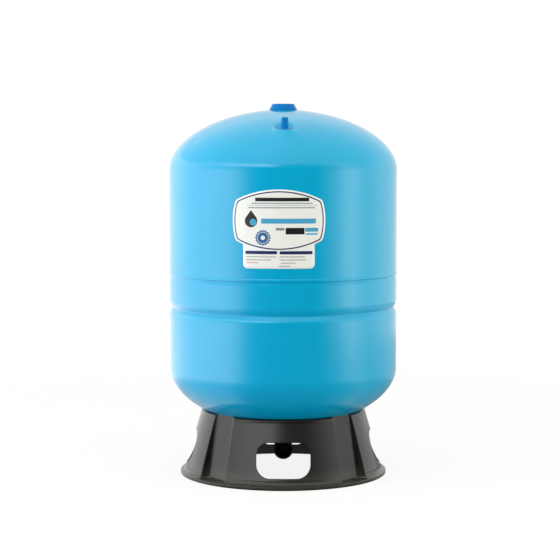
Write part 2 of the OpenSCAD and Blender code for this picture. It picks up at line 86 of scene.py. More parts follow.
def smooth_min(a, b, k):
    """The smaller of two arrays, with the corner between them rounded over a height of about k."""
    return (a + b - np.sqrt((a - b) ** 2 + k * k)) / 2


def lerp(a, b, t):
    """The point a fraction t of the way from a to b."""
    return a + (b - a) * t


def arc(centre, radius, start, end, steps):
    """Points on a circle about centre, from one angle in degrees to another."""
    a = np.radians(np.linspace(start, end, steps + 1))
    return np.stack([centre[0] + radius * np.cos(a), centre[1] + radius * np.sin(a)], -1)


def rounded(corners, steps=6):
    """A closed outline through corners (x, y, radius), each turned by an arc tangent to its two sides."""
    out = []
    for i, (x, y, radius) in enumerate(corners):
        here = np.array([x, y])
        back = np.array(corners[i - 1][:2]) - here
        ahead = np.array(corners[(i + 1) % len(corners)][:2]) - here
        back, ahead = back / np.hypot(*back), ahead / np.hypot(*ahead)
        half = math.acos(float(np.clip(back @ ahead, -1, 1))) / 2
        if radius == 0 or half > 1.55:
            out.append(here[None])
            continue
        reach = radius / math.tan(half)
        start, end = here + back * reach, here + ahead * reach
        middle = here + (back + ahead) / np.hypot(*(back + ahead)) * radius / math.sin(half)
        t = np.linspace(0, 1, steps + 1)[:, None]
        a, b = start - middle, end - middle
        turn = math.pi - 2 * half
        out.append(middle + (np.sin((1 - t) * turn) * a + np.sin(t * turn) * b) / math.sin(turn))
    return np.concatenate(out)


# Meshes


def surface(name, grids, sharp=40, merge=0.004 * MM):
    """One mesh from grids of points (n, m, 3), each with a flag for either direction that closes on itself.

    Points that meet are merged, and the normals are turned outwards on the closed result.
    """
    points, quads, start = [], [], 0
    for grid, around, along in grids:
        n, m = grid.shape[:2]
        i = np.arange(n if around else n - 1)[:, None]
        j = np.arange(m if along else m - 1)[None, :]
        i2, j2 = (i + 1) % n, (j + 1) % m
        corners = np.broadcast_arrays(i * m + j, i2 * m + j, i2 * m + j2, i * m + j2)
        quads.append(start + np.stack(corners, -1).reshape(-1, 4))
        points.append(grid.reshape(-1, 3))
        start += n * m
    mesh = bpy.data.meshes.new(name)
    mesh.from_pydata(np.concatenate(points).tolist(), [], np.concatenate(quads).tolist())
    work = bmesh.new()
    work.from_mesh(mesh)
    bmesh.ops.remove_doubles(work, verts=work.verts, dist=merge)
    bmesh.ops.dissolve_degenerate(work, edges=work.edges, dist=merge)
    bmesh.ops.recalc_face_normals(work, faces=work.faces)
    work.to_mesh(mesh)
    work.free()
    mesh.polygons.foreach_set("use_smooth", np.ones(len(mesh.polygons), bool))
    mesh.set_sharp_from_angle(angle=math.radians(sharp))
    piece = bpy.data.objects.new(name, mesh)
    bpy.context.collection.objects.link(piece)
    return piece


def spin(profile, angles, centre=(0.0, 0.0)):
    """The grid of an outline of (r, z), turned through angles about the upright line through centre."""
    r, z = np.asarray(profile).T
    x = centre[0] + np.cos(angles)[:, None] * r
    y = centre[1] + np.sin(angles)[:, None] * r
    return np.stack([x, y, np.broadcast_to(z, x.shape)], -1)


def dress(piece, body, material, node):
    """Puts a piece on its body, in place of a node, with its finish."""
    piece.data.materials.append(material)
    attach(piece, body)
    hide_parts(node)


# Materials


class Value:
    """A shader socket. Sums and products of sockets and numbers add Math nodes to its tree."""

    def __init__(self, nodes, socket):
        self.nodes = nodes
        self.socket = socket

    def __add__(self, other):
        return self.nodes.math("ADD", self, other)

    def __radd__(self, other):
        return self.nodes.math("ADD", other, self)

    def __sub__(self, other):
        return self.nodes.math("SUBTRACT", self, other)

    def __rsub__(self, other):
        return self.nodes.math("SUBTRACT", other, self)

    def __mul__(self, other):
        return self.nodes.math("MULTIPLY", self, other)

    def __rmul__(self, other):
        return self.nodes.math("MULTIPLY", other, self)

    def __truediv__(self, other):
        return self.nodes.math("DIVIDE", self, other)

    def __abs__(self):
        return self.nodes.math("ABSOLUTE", self)

    def max(self, other):
        """The larger of the value and another."""
        return self.nodes.math("MAXIMUM", self, other)

    def root(self):
        """The square root."""
        return self.nodes.math("SQRT", self)

    def below(self, edge, blur):
        """1 where the value is under edge and 0 above it, with a soft step of width blur."""
        return self.nodes.node("ShaderNodeMapRange", {"interpolation_type": "SMOOTHSTEP"},
                               {"Value": self, "From Min": edge - blur / 2, "From Max": edge + blur / 2,
                                "To Min": 1.0, "To Max": 0.0})

    def between(self, low, high, blur):
        """1 where the value lies from low to high, with soft steps of width blur."""
        return self.below(high, blur) - self.below(low, blur)


class Nodes:
    """A node tree, with one method that adds a node of any type."""

    def __init__(self, tree):
        self.tree = tree
        tree.nodes.clear()

    def plug(self, socket, value):
        """Links a socket to a value of the tree, or sets it to a plain number or colour."""
        if isinstance(value, Value):
            self.tree.links.new(value.socket, socket)
        else:
            socket.default_value = value

    def node(self, kind, settings=None, inputs=None, output=0):
        """Adds a node of a type, with its settings set first, then its sockets, and gives one output."""
        made = self.tree.nodes.new(kind)
        for key, value in (settings or {}).items():
            setattr(made, key, value)
        for key, value in (inputs or {}).items():
            self.plug(made.inputs[key], value)
        return Value(self, made.outputs[output] if made.outputs else None)

    def math(self, operation, *values):
        """Adds a Math node on numbers or sockets."""
        return self.node("ShaderNodeMath", {"operation": operation}, dict(enumerate(values)))

    def place(self):
        """The point on the object."""
        return self.node("ShaderNodeTexCoord", output="Object")

    def stretched(self, x, y, z):
        """The point on the object, scaled along each axis."""
        return self.node("ShaderNodeMapping", {}, {"Vector": self.place(), "Scale": (x, y, z)})

    def split(self, vector):
        """The three numbers of a vector."""
        first = self.node("ShaderNodeSeparateXYZ", {}, {"Vector": vector})
        return [Value(self, socket) for socket in first.socket.node.outputs]

    def noise(self, scale, detail=2.0, rough=0.5, vector=None):
        """Noise about 0.5 over the point on the object, or over another vector."""
        return self.node("ShaderNodeTexNoise", {}, {"Vector": vector or self.place(), "Scale": scale,
                                                    "Detail": detail, "Roughness": rough})

    def mix(self, factor, a, b):
        """The colour a where factor is 0 and b where it is 1."""
        return self.node("ShaderNodeMix", {"data_type": "RGBA"}, {0: factor, 6: a, 7: b}, 2)

    def ray(self, kind):
        """1 for rays of a kind."""
        return self.node("ShaderNodeLightPath", output="Is " + kind + " Ray")

    def graph(self, value, points):
        """The value through a graph of (place, height) points from 0 to 1, with straight lines between."""
        ramp = self.node("ShaderNodeValToRGB", {}, {"Fac": value})
        stops = ramp.socket.node.color_ramp.elements
        for place, _ in points[1:-1]:
            stops.new(place)
        for stop, (place, height) in zip(stops, points):
            stop.position = place
            stop.color = (height, height, height, 1)
        return self.split(ramp)[0]


class Paint(Nodes):
    """A node material around one Principled shader."""

    def __init__(self, name, **constants):
        self.material = bpy.data.materials.new(name)
        self.material.use_nodes = True
        super().__init__(self.material.node_tree)
        self.shader = self.tree.nodes.new("ShaderNodeBsdfPrincipled")
        self.out = self.tree.nodes.new("ShaderNodeOutputMaterial")
        self.tree.links.new(self.shader.outputs[0], self.out.inputs[0])
        for key, value in constants.items():
            self.set(key.replace("_", " ").title().replace("Ior", "IOR"), value)

    def set(self, key, value):
        """Sets or links a socket of the shader."""
        self.plug(self.shader.inputs[key], value)

    def bump(self, height, depth, strength=1.0):
        """Height from 0 to 1 as a relief of the given depth in metres."""
        self.set("Normal", self.node("ShaderNodeBump", {}, {"Height": height, "Distance": depth,
                                                            "Strength": strength}))


def colour(red, green, blue):
    """A colour given as it shows on a screen, from 0 to 255, as the shader's linear numbers."""
    c = np.array([red, green, blue]) / 255
    return (*np.where(c > 0.04045, ((c + 0.055) / 1.055) ** 2.4, c / 12.92).tolist(), 1.0)


def tank_paint():
    """Glossy blue enamel over sprayed primer: faint clouds in the colour and a fine orange peel."""
    p = Paint("tank_paint", specular_ior_level=0.5)
    clouds = p.noise(5.0, 3.0)
    p.set("Base Color", p.mix(clouds, colour(0, 158, 210), colour(0, 164, 216)))
    p.set("Roughness", 0.11 + 0.05 * p.noise(14.0, 3.0))
    p.bump(p.noise(260.0, 2.0), 0.05 * MM, 0.35)
    return p.material


def stand_plastic():
    """Black moulded plastic: a fine spark grain, pale rubs near the floor and faint flow clouds."""
    p = Paint("stand_plastic", specular_ior_level=0.4)
    _, _, z = p.split(p.place())
    clouds = p.noise(9.0, 4.0)
    dust = p.noise(60.0, 5.0, 0.7) * z.below(0.03, 0.04)
    base = p.mix(clouds, colour(20, 20, 18), colour(26, 26, 24))
    p.set("Base Color", p.mix(dust * 0.35, base, colour(110, 108, 102)))
    p.set("Roughness", 0.19 + 0.08 * clouds)
    p.bump(p.noise(1400.0, 2.0, 0.6), 0.05 * MM, 0.5)
    return p.material


def cap_plastic():
    """Glossy blue moulded plastic with a soft mould texture."""
    p = Paint("cap_plastic", specular_ior_level=0.12)
    clouds = p.noise(30.0, 3.0)
    p.set("Base Color", p.mix(clouds, colour(0, 104, 178), colour(0, 113, 190)))
    p.set("Roughness", 0.24 + 0.15 * clouds)
    p.bump(p.noise(900.0, 2.0), 0.03 * MM, 0.4)
    return p.material


def elbow_coat():
    """Cast elbow under a dark coat: sand grain, and paler rub marks spread all over it."""
    p = Paint("elbow_coat", metallic=0.6)
    grain = p.noise(420.0, 5.0, 0.65)
    worn = p.noise(55.0, 4.0)
    p.set("Base Color", p.mix(worn, colour(52, 54, 56), colour(92, 94, 96)))
    p.set("Roughness", 0.38 + 0.25 * grain)
    p.bump(grain, 0.25 * MM, 0.6)
    return p.material


def metal(name, tone, rough, grain_scale):
    """Bare metal with turning marks along its height and a little stain."""
    p = Paint(name, metallic=1.0)
    lines = p.noise(1.0, 3.0, 0.6, p.stretched(grain_scale * 0.02, grain_scale * 0.02, grain_scale))
    stain = p.noise(40.0, 4.0)
    darker = tuple(c * 0.72 for c in tone[:3]) + (1.0,)
    p.set("Base Color", p.mix(stain, tone, darker))
    p.set("Roughness", rough + 0.15 * lines)
    p.bump(lines, 0.05 * MM, 0.5)
    return p.material


def soft_stuff(name, tone, rough, grain_scale):
    """Moulded rubber or plastic with a fine grain and faint clouds."""
    p = Paint(name)
    clouds = p.noise(18.0, 4.0)
    lighter = tuple(min(1.0, c * 1.35 + 0.004) for c in tone[:3]) + (1.0,)
    p.set("Base Color", p.mix(clouds, tone, lighter))
    p.set("Roughness", rough + 0.12 * clouds)
    p.bump(p.noise(grain_scale, 3.0), 0.08 * MM, 0.5)
    return p.material


# Shells


def dome(d, radius=TANK_R, depth=HEAD_H):
    """Height of a head above its rim at distance d from the axis: a superellipse of the head's fullness."""
    return depth * np.maximum(0, 1 - (d / radius) ** HEAD_FULLNESS) ** (1 / HEAD_FULLNESS)


def head(inset, start, extra=()):
    """The head's curve (r, height) from distance start out to the wall, inset inside the outer face.

    It goes by the angle of the superellipse, with extra distances where the shape needs them.
    """
    radius, depth = TANK_R - inset, HEAD_H - inset
    r = radius * np.cos(np.linspace(0, np.pi / 2, 72)) ** (2 / HEAD_FULLNESS)
    r = np.unique(np.concatenate([r[r > start + MM], np.asarray(extra, float), [start, radius]]))
    return np.stack([r, dome(r, radius, depth)], -1)


# The air valve stands VALVE_REACH from the axis, on a flat pressed into the dome. PAD_R is the flat's
# radius, PAD_STEEP the slope of the cones about it, and past PAD_REACH the dome is as drawn.
VALVE_REACH = 205 * MM
VALVE_TURN = math.radians(0.9 - 90)
VALVE_XY = (VALVE_REACH * math.cos(VALVE_TURN), VALVE_REACH * math.sin(VALVE_TURN))
PAD_TOP = SHOULDER_Z + float(dome(np.array(VALVE_REACH)))
PAD_R = 21 * MM
PAD_STEEP = 1 / math.tan(math.radians(33))
PAD_SINK = 0.4 * MM
PAD_OUTER_SOFT, PAD_INNER_SOFT = 12 * MM, 3 * MM
PAD_REACH, PAD_FADE = 74 * MM, 20 * MM


def press_seat(points, inset):
    """Presses the valve's flat seat into the head: heights are kept between two cones about the seat.

    The lower cone falls away from the flat and the upper one rises from it, with soft corners.
    """
    away = np.hypot(points[..., 0] - VALVE_XY[0], points[..., 1] - VALVE_XY[1])
    slope = np.maximum(0, away - PAD_R) * PAD_STEEP
    z = points[..., 2]
    flat = PAD_TOP - inset
    raised = smooth_max(z, flat - slope, PAD_OUTER_SOFT)
    pressed = smooth_min(raised, flat + slope + PAD_SINK, PAD_INNER_SOFT)
    blend = np.clip((PAD_REACH - away) / PAD_FADE, 0, 1) * (z > SHOULDER_Z + 10 * MM)
    points[..., 2] = lerp(z, pressed, blend * blend * (3 - 2 * blend))
    return points


def front_angles(count, narrow, dense):
    """Angles round the tank that crowd about the valve: dense of them lie within narrow radians of it."""
    close = np.linspace(-narrow, narrow, dense)
    rest = np.linspace(narrow, 2 * np.pi - narrow, count - dense + 2)[1:-1]
    return VALVE_TURN + np.concatenate([close, rest])


def upper_skin(material):
    """The upper head and wall with the valve's pressed seat, turned from its outline on both faces."""
    near_seat = np.arange(150, 262, 1.5) * MM
    outer = head(0, PORT_R, near_seat)
    inner = head(SHEET, PORT_R, near_seat[::2])
    wall = np.linspace(SHOULDER_Z, SEAM_Z + SEAM_ROOT, 12)[1:]
    outline = np.concatenate([
        outer + [0, SHOULDER_Z],
        np.stack([0 * wall + TANK_R, wall], -1),
        np.stack([0 * wall + TANK_R - SHEET, wall[::-1]], -1),
        (inner + [0, SHOULDER_Z])[::-1]])
    grid = spin(outline, front_angles(250, narrow=0.32, dense=120))
    split = len(outer) + len(wall)
    grid[:, :split] = press_seat(grid[:, :split], 0)
    grid[:, split:] = press_seat(grid[:, split:], SHEET)
    skin = surface("upper_shell_skin", [(grid, True, True)])
    dress(skin, "tank", material, "upper_shell")


def groove(height):
    """Depth of the rolled groove at a height from its middle: two lips of one radius that meet softly."""
    s = np.maximum(0, GROOVE_HALF_H - np.abs(height))
    lips = GROOVE_LIP_R - np.sqrt(GROOVE_LIP_R ** 2 - s ** 2)
    return np.where(lips > 0, smooth_min(lips, GROOVE_DEPTH, 0.5 * MM), 0)


# The wall's toe just under the seam's bead: distance below the seam, and how far the wall is drawn in there
TOE_DOWN, TOE_IN = MM * np.array([
    (18.5, 0), (15.5, 0.1), (13, 0.35), (10.5, 0.75), (8.5, 1.1), (6.8, 1.4), (5.6, 1.6), (4.9, 1.7),
    (4.5, 1.65), (4.1, 1.4), (3.7, 0.8), (3.3, 0.2), (2.6, 0), (1.5, 0)]).T


def lower_skin(material):
    """The lower head, the wall with its groove and toe, and the joggled tongue, turned on both faces."""
    z = np.concatenate([
        np.linspace(FOOT_Z, GROOVE_Z - GROOVE_ZONE, 8)[1:],
        GROOVE_Z + np.linspace(-1.1, 1.1, 89) * GROOVE_HALF_H,
        np.linspace(GROOVE_Z + GROOVE_ZONE, SEAM_Z - 20 * MM, 5),
        SEAM_Z - TOE_DOWN])
    r = TANK_R - groove(z - GROOVE_Z) - np.interp(z - SEAM_Z, -TOE_DOWN, TOE_IN, 0, 0)
    out_r = TANK_R - SHEET - GAP
    in_r = out_r - SHEET
    top = SEAM_Z + TONGUE_H
    tongue = [[out_r, SEAM_Z + SEAM_ROOT], [out_r, top], [in_r, top], [in_r, SEAM_Z + MM]]
    outer = (head(0, PORT_R) * [1, -1]) + [0, FOOT_Z]
    inner = (head(SHEET, PORT_R) * [1, -1]) + [0, FOOT_Z]
    outline = np.concatenate([
        outer, np.stack([r, z], -1), tongue, np.stack([r - SHEET, z], -1)[::-1], inner[::-1]])
    grid = spin(outline, front_angles(180, narrow=0.5, dense=60))
    skin = surface("lower_shell_skin", [(grid, True, True)])
    dress(skin, "tank", material, "lower_shell")


def weld_bead(material):
    """The low bead over the seam: a shallow arc, steeper underneath, that wavers a little as it goes."""
    a = np.linspace(0, 2 * np.pi, 360, endpoint=False)[:, None]
    t = np.linspace(0, np.pi, 15)[None, :]
    waver = 1 + 0.07 * np.sin(23 * a) * np.sin(7 * a + 1) + 0.05 * np.sin(41 * a + 2)
    r = TANK_R - BEAD_SINK + BEAD_RISE * np.sin(t) ** 0.8
    z = SEAM_Z + BEAD_HALF_H * waver * np.cos(t + 0.35 * np.sin(t)) + 0.15 * MM * np.sin(17 * a)
    grid = np.stack([np.cos(a) * r, np.sin(a) * r, z + 0 * r], -1)
    bead = surface("girth_weld_bead", [(grid, True, True)], sharp=70)
    dress(bead, "tank", material, "girth_weld")


# Label

LABEL_W, LABEL_H = 220 * MM, 143 * MM
LABEL_ARCH_R, LABEL_SIDE_R, LABEL_FIELD_R = 225 * MM, 150 * MM, 12 * MM
LABEL_TAB_W, LABEL_TAB_H, LABEL_TAB_R = 168 * MM, 40 * MM, 11 * MM
LABEL_T, LABEL_LIFT = 0.3 * MM, 0.02 * MM
LABEL_Z = SEAM_Z + 68 * MM + LABEL_H / 2
LABEL_TURN = math.radians(-2.25)
LABEL_MIDDLE = (0, -20 * MM)


def label_outline():
    """The sticker's outline along the wall: a barrel of arcs with round corners, and the tab under it.

    A corner's middle lies where two circles meet, each smaller than its edge's by the corner's radius.
    """
    arch = np.array([0, LABEL_H / 2 - LABEL_ARCH_R])
    side = np.array([LABEL_W / 2 - LABEL_SIDE_R, 0])
    a, b = LABEL_ARCH_R - LABEL_FIELD_R, LABEL_SIDE_R - LABEL_FIELD_R
    apart = np.hypot(*(side - arch))
    u = (side - arch) / apart
    along = (a * a - b * b + apart * apart) / (2 * apart)
    corner = arch + along * u + math.sqrt(a * a - along * along) * np.array([u[1], -u[0]])
    start = math.degrees(math.atan2(*(corner - side)[::-1]))
    end = math.degrees(math.atan2(*(corner - arch)[::-1]))
    tab = math.degrees(math.acos(LABEL_TAB_W / 2 / LABEL_ARCH_R))
    foot = (LABEL_TAB_W / 2 - LABEL_TAB_R, LABEL_TAB_R - LABEL_H / 2 - LABEL_TAB_H)
    join = arc(-arch, LABEL_ARCH_R, -tab, -end, 6)
    half = np.concatenate([
        np.linspace([0, foot[1] - LABEL_TAB_R], [foot[0], foot[1] - LABEL_TAB_R], 14)[:-1],
        arc(foot, LABEL_TAB_R, -90, 0, 12),
        np.linspace([LABEL_TAB_W / 2, foot[1]], join[0], 8)[1:-1],
        join,
        arc(corner * [1, -1], LABEL_FIELD_R, -end, -start, 8)[1:],
        arc(side, LABEL_SIDE_R, -start, start, 24)[1:],
        arc(corner, LABEL_FIELD_R, start, end, 8)[1:],
        arc(arch, LABEL_ARCH_R, end, 90, 20)[1:]])
    return np.concatenate([half, half[-2:0:-1] * [-1, 1]])


def label_skin(material):
    """The sticker: its outline drawn in to its middle and rolled on the wall, with a thin rounded edge."""
    rim = label_outline()
    t = np.concatenate([np.linspace(0, 1, 16), [1.0012, 1.0016, 1.0016, 0.98]])
    out = np.concatenate([np.full(16, 1.0), [0.7, 0.3, 0.0, 0.0]]) * LABEL_T
    flat = lerp(np.array(LABEL_MIDDLE), rim[:, None], t[None, :, None])
    a = flat[..., 0] / TANK_R + LABEL_TURN - math.pi / 2
    r = TANK_R + LABEL_LIFT + out[None, :] + 0 * a
    grid = np.stack([r * np.cos(a), r * np.sin(a), LABEL_Z + flat[..., 1]], -1)
    piece = surface("label_film", [(grid, True, False)], sharp=80, merge=0.001 * MM)
    mesh = piece.data
    places = np.empty(len(mesh.vertices) * 3)
    mesh.vertices.foreach_get("co", places)
    x, y, z = places.reshape(-1, 3).T
    s = (np.arctan2(y, x) + math.pi / 2 - LABEL_TURN) * TANK_R
    corner = np.empty(len(mesh.loops), int)
    mesh.loops.foreach_get("vertex_index", corner)
    unrolled = np.stack([s[corner], z[corner] - LABEL_Z], -1) / LABEL_W + 0.5
    layer = mesh.uv_layers.new(name="unrolled")
    layer.data.foreach_set("uv", unrolled.ravel())
    dress(piece, "tank", material, "label")


# The print's bars: middle, width and height in millimetres from the field's middle, ink, and the spacing
# of the blocks that a bar is broken into, or 0 where it is whole
LABEL_BARS = [
    (8, 48.5, 126, 8.4, "black", 0), (8, 39.7, 142, 3.0, "grey", 3.9), (8, 35.2, 166, 0.9, "sky", 0),
    (7, 29.6, 156, 3.2, "grey", 3.7), (23, -1.4, 128, 11.5, "sky", 0), (38, -24.5, 44, 15, "black", 0),
    (3, -20, 20, 6, "grey", 0), (77, -21.5, 31, 9, "sky", 0), (77, -31.4, 29, 3.6, "sky", 0),
    (-41.2, -74.2, 75.6, 7.6, "navy", 0), (40.6, -74.6, 77, 7.6, "navy", 0),
    (-41.2, -84.2, 70.6, 2.3, "grey", 3.3), (-47, -91.2, 59, 2.3, "grey", 3.5),
    (-62, -98, 29, 2.3, "red", 3.3), (31.4, -84.2, 59, 2.3, "grey", 3.5),
    (32.4, -91.2, 61, 2.3, "grey", 3.3), (22.3, -98.6, 34.5, 2.3, "grey", 3.4),
    (13.8, -105.8, 25, 2.3, "grey", 3.3),
]
# The rest of the print, in millimetres: its edges' blur, the border line's distances from the field's edge,
# and where the drop, its pale spot and the toothed disc stand
PRINT_EDGE = 0.4
BORDER_FROM, BORDER_TO = 3.6, 6.6
DROP_AT, DROP_R = (-65, -1), 15
SHINE_AT, SHINE_R = (-60, -4), 8
DISC_AT, DISC_R, DISC_TEETH, DISC_TOOTH = (-36.8, -40), 17.2, 16, 1.4
DISC_RING, DISC_EYE_R = (12.4, 13.6), 5.2


def label_print():
    """White film printed with a border line and plain generic marks: bars, a drop and a scalloped disc."""
    p = Paint("label_film", roughness=0.3, coat_weight=0.3, coat_roughness=0.12)
    u, v, _ = p.split(p.node("ShaderNodeUVMap", {"uv_map": "unrolled"}))
    s = (u - 0.5) * (LABEL_W / MM)
    h = (v - 0.5) * (LABEL_W / MM)

    def bar(x, y, w, t, r):
        """1 inside an upright box about (x, y), w wide and t high, with corners of radius r."""
        dx = (abs(s - x) - (w / 2 - r)).max(0.0)
        dy = (abs(h - y) - (t / 2 - r)).max(0.0)
        return (dx * dx + dy * dy).root().below(r, 0.35)

    def away(x, y):
        """Distance from a point of the print."""
        dx, dy = s - x, h - y
        return (dx * dx + dy * dy).root()

    ink = {"navy": colour(28, 42, 98), "black": colour(30, 30, 32), "sky": colour(70, 160, 210),
           "grey": colour(138, 140, 148), "red": colour(205, 130, 130), "paper": colour(232, 233, 237),
           "blue": colour(40, 98, 156)}
    tone = p.mix(p.noise(3.0), ink["paper"], colour(236, 237, 241))
    up = abs(h) + (LABEL_ARCH_R - LABEL_H / 2) / MM
    across = abs(s) + (LABEL_SIDE_R - LABEL_W / 2) / MM
    arch, side = (s * s + up * up).root(), (across * across + h * h).root()
    inside = p.math("SMOOTH_MIN", LABEL_ARCH_R / MM - arch, LABEL_SIDE_R / MM - side, 6.0)
    tone = p.mix(inside.between(BORDER_FROM, BORDER_TO, PRINT_EDGE), tone, ink["navy"])
    for x, y, w, t, name, spacing in LABEL_BARS:
        mark = bar(x, y, w, t, min(t / 2.01, 2.5 if name == "navy" else 0.8))
        if spacing:
            mark = mark * p.math("FRACT", (s - x + w / 2) / spacing).below(0.8, 0.12)
        tone = p.mix(mark, tone, ink[name])
    dx, dy = abs(s - DROP_AT[0]), h - DROP_AT[1]
    tip = (dx * 0.8 + dy * 0.6).below(DROP_R, PRINT_EDGE) * dy.between(0.6 * DROP_R, 26, PRINT_EDGE)
    drop = away(*DROP_AT).below(DROP_R, PRINT_EDGE).max(tip)
    tone = p.mix(drop, tone, ink["black"])
    tone = p.mix(away(*SHINE_AT).below(SHINE_R, PRINT_EDGE), tone, ink["sky"])
    turn = p.math("ARCTAN2", h - DISC_AT[1], s - DISC_AT[0])
    from_disc = away(*DISC_AT)
    teeth = from_disc - DISC_TOOTH * p.math("COSINE", turn * DISC_TEETH)
    tone = p.mix(teeth.below(DISC_R, 0.5), tone, ink["blue"])
    tone = p.mix(from_disc.between(*DISC_RING, PRINT_EDGE), tone, ink["paper"])
    tone = p.mix(from_disc.below(DISC_EYE_R, PRINT_EDGE), tone, ink["paper"])
    p.set("Base Color", tone)
    p.set("Roughness", 0.26 + 0.1 * p.noise(40.0, 3.0))
    p.bump(p.noise(700.0, 2.0), 0.02 * MM, 0.3)
    return p.material


# Stand: a rim and a cove at its foot, leaning panels with windows, flutes between them and a seat on top

RIM_R, RIM_H = 255 * MM, 8.6 * MM
FLARE_W, FLARE_H = 13 * MM, 12 * MM
SEAT_R, SEAT_W, SHOULDER = 197 * MM, 12 * MM, 6 * MM
LIP_H, WALL = 8 * MM, 4 * MM
WINDOW_W, WINDOW_H, WINDOW_SILL, WINDOW_R = 128 * MM, 81.5 * MM, 26 * MM, 31 * MM
FLUTE_W, FLUTE_R = 62 * MM, 15 * MM
FLUTE_DRAFT = math.radians(28)
FLARE_TOP = RIM_H + FLARE_H
PANEL_FOOT_R = RIM_R - FLARE_W


def seat_height(r):
    """Height of the seat under the lower head at distance r from the axis."""
    return FOOT_Z - dome(r) - GAP


SEAT_TOP = float(seat_height(np.array(SEAT_R)))
PANEL_TAN = (PANEL_FOOT_R - SEAT_R - SHOULDER) / (SEAT_TOP - SHOULDER - FLARE_TOP)
WALL_ACROSS = WALL * math.hypot(1, PANEL_TAN)
FLUTE_FOOT_R = PANEL_FOOT_R - 20 * MM
FLUTE_TAN = (FLUTE_FOOT_R - SEAT_R - SHOULDER + 8 * MM) / (SEAT_TOP - RIM_H)
PANEL_HALF = math.radians(30.5)
EDGE = 1.6 * MM
FLOOR_FILLET = 5 * MM
LIP_Z = float(seat_height(np.array(SEAT_R - SEAT_W))) - LIP_H
UNDER = RIM_H - WALL
INNER_FOOT_Z = RIM_H + 4 * MM
# A panel's window lies in a ring of faces from FLARE_TOP to RING_HIGH, RING_ROWS high and COLUMNS across
RING_HIGH = 124 * MM
SHOULDER_STEPS, UPPER_STEPS, RING_ROWS, COLUMNS = 8, 5, 22, 31


def panel_radius(z):
    """Radius of the panels' straight face at a height."""
    return PANEL_FOOT_R - (z - FLARE_TOP) * PANEL_TAN


def flute_floor(z):
    """Distance of a flute's floor from the axis at a height, with a fillet onto the ledge at its foot."""
    up = np.clip(FLOOR_FILLET - (z - RIM_H), 0, FLOOR_FILLET)
    fillet = FLOOR_FILLET - np.sqrt(FLOOR_FILLET ** 2 - up ** 2)
    return FLUTE_FOOT_R - (z - RIM_H) * FLUTE_TAN + fillet


def flute_rise(y, half_w, r):
    """How far a flute's section stands out from its floor at distance y from its middle.

    It is flat, then an arc of radius r, then a wall with draft.
    """
    flat = half_w - r * math.tan((math.pi / 2 - FLUTE_DRAFT) / 2)
    turn = np.clip(y - flat, 0, r * math.cos(FLUTE_DRAFT))
    straight = np.maximum(0, y - flat - r * math.cos(FLUTE_DRAFT))
    return r - np.sqrt(r * r - turn * turn) + straight / math.tan(FLUTE_DRAFT)


def flute_rows(radius, floor, half_w, r):
    """Sections of a flute zone (rows, columns, 2), one for each radius of the panels and floor distance.

    Each goes from the zone's middle across the floor and wall, rounds the edge where the wall meets the
    panels' circle, and follows that circle to the zone's side. The edge is found by halving.
    """
    radius, floor = radius[:, None], floor[:, None]
    low, high = np.zeros_like(radius), np.full_like(radius, 60 * MM)
    for _ in range(40):
        mid = (low + high) / 2
        inside = (floor + flute_rise(mid, half_w, r)) ** 2 + mid ** 2 < radius ** 2
        low, high = np.where(inside, mid, low), np.where(inside, high, mid)
    edge_y = (low + high) / 2
    y = np.maximum(edge_y - EDGE, 0) * np.linspace(0, 1, 20)[None, :]
    section = np.stack([floor + flute_rise(y, half_w, r), y], -1)
    edge_a = np.arcsin(edge_y / radius)
    corner = np.stack([radius * np.cos(edge_a), edge_y], -1)
    start_a = edge_a + EDGE / radius
    side_a = math.pi / 4 - PANEL_HALF
    a = lerp(start_a, side_a, np.linspace(0, 1, 7)[None, :] ** 1.3)
    circle = np.stack([radius * np.cos(a), radius * np.sin(a)], -1)
    t = np.linspace(0, 1, 6)[None, 1:-1, None]
    bend = lerp(lerp(section[:, -1:], corner, t), lerp(corner, circle[:, :1], t), t)
    half = np.concatenate([section, bend, circle], 1)
    return np.concatenate([half[:, :0:-1] * [1, -1], half], 1)


def with_height(section, z):
    """Puts heights on sections (rows, columns, 2)."""
    return np.concatenate([section, np.broadcast_to(z[:, None, None], (*section.shape[:2], 1))], -1)


def at_radius(points, radius):
    """The points' directions from the axis, at another radius."""
    return points * (radius / np.linalg.norm(points, axis=-1, keepdims=True))


def stand_profile():
    """The outer face's rows (radius, height), down from the seat's edge: shoulder, panel and cove."""
    shoulder = arc((SEAT_R, SEAT_TOP - SHOULDER), SHOULDER, 90, 0, SHOULDER_STEPS)
    a = np.radians(np.linspace(0, 90, 9))
    panel_z = np.concatenate([np.linspace(SEAT_TOP - SHOULDER, RING_HIGH, UPPER_STEPS + 1)[1:],
                              np.linspace(RING_HIGH, FLARE_TOP, RING_ROWS)[1:]])
    cove = np.stack([RIM_R - EDGE - (FLARE_W - EDGE) * np.cos(a), FLARE_TOP - FLARE_H * np.sin(a)], -1)
    return np.concatenate([shoulder, np.stack([panel_radius(panel_z), panel_z], -1), cove[1:]])


def foot_rows():
    """The foot's rows (radius, height): round the rim, down its strip and in along the floor."""
    inner = float(panel_radius(np.array(0.0))) - WALL_ACROSS
    return np.concatenate([arc((RIM_R - EDGE, RIM_H - EDGE), EDGE, 90, 0, 4)[1:],
                           arc((RIM_R - EDGE, EDGE), EDGE, 0, -90, 4),
                           [[lerp(RIM_R, inner, 0.5), 0.0], [inner + MM, 0.0], [inner, 0.6 * MM]]])


